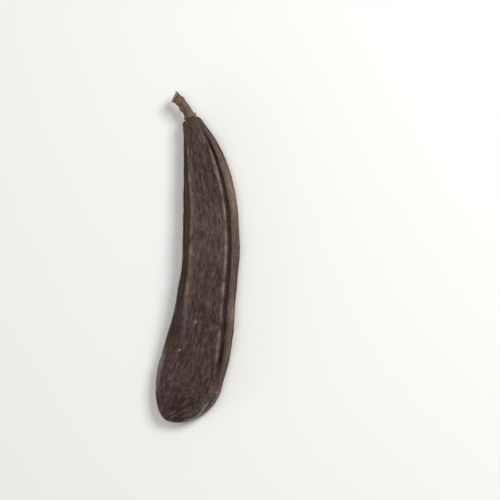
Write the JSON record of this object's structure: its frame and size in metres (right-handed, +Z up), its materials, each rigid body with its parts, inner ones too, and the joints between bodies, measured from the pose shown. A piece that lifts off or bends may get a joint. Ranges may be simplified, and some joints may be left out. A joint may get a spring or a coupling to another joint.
{
  "type": "carob pod",
  "caption": "Dried carob pod, long, flat and slightly curved, with a round blossom end, ridged margins, leathery wrinkled skin and a woody stalk stub.",
  "frame": {"origin": "on the surface that the pod lies on, under the centre of its bounding box", "axes": "+Y towards the stalk, along the pod's length; +X across the pod; +Z up from the surface"},
  "size_m": [0.0336, 0.1272, 0.0099],
  "materials": {
    "pod_skin": "satin",
    "stalk_wood": "matte"
  },
  "bodies": {
    "root": {"pod": "pod_skin", "stalk": "stalk_wood"}
  },
  "joints": []
}
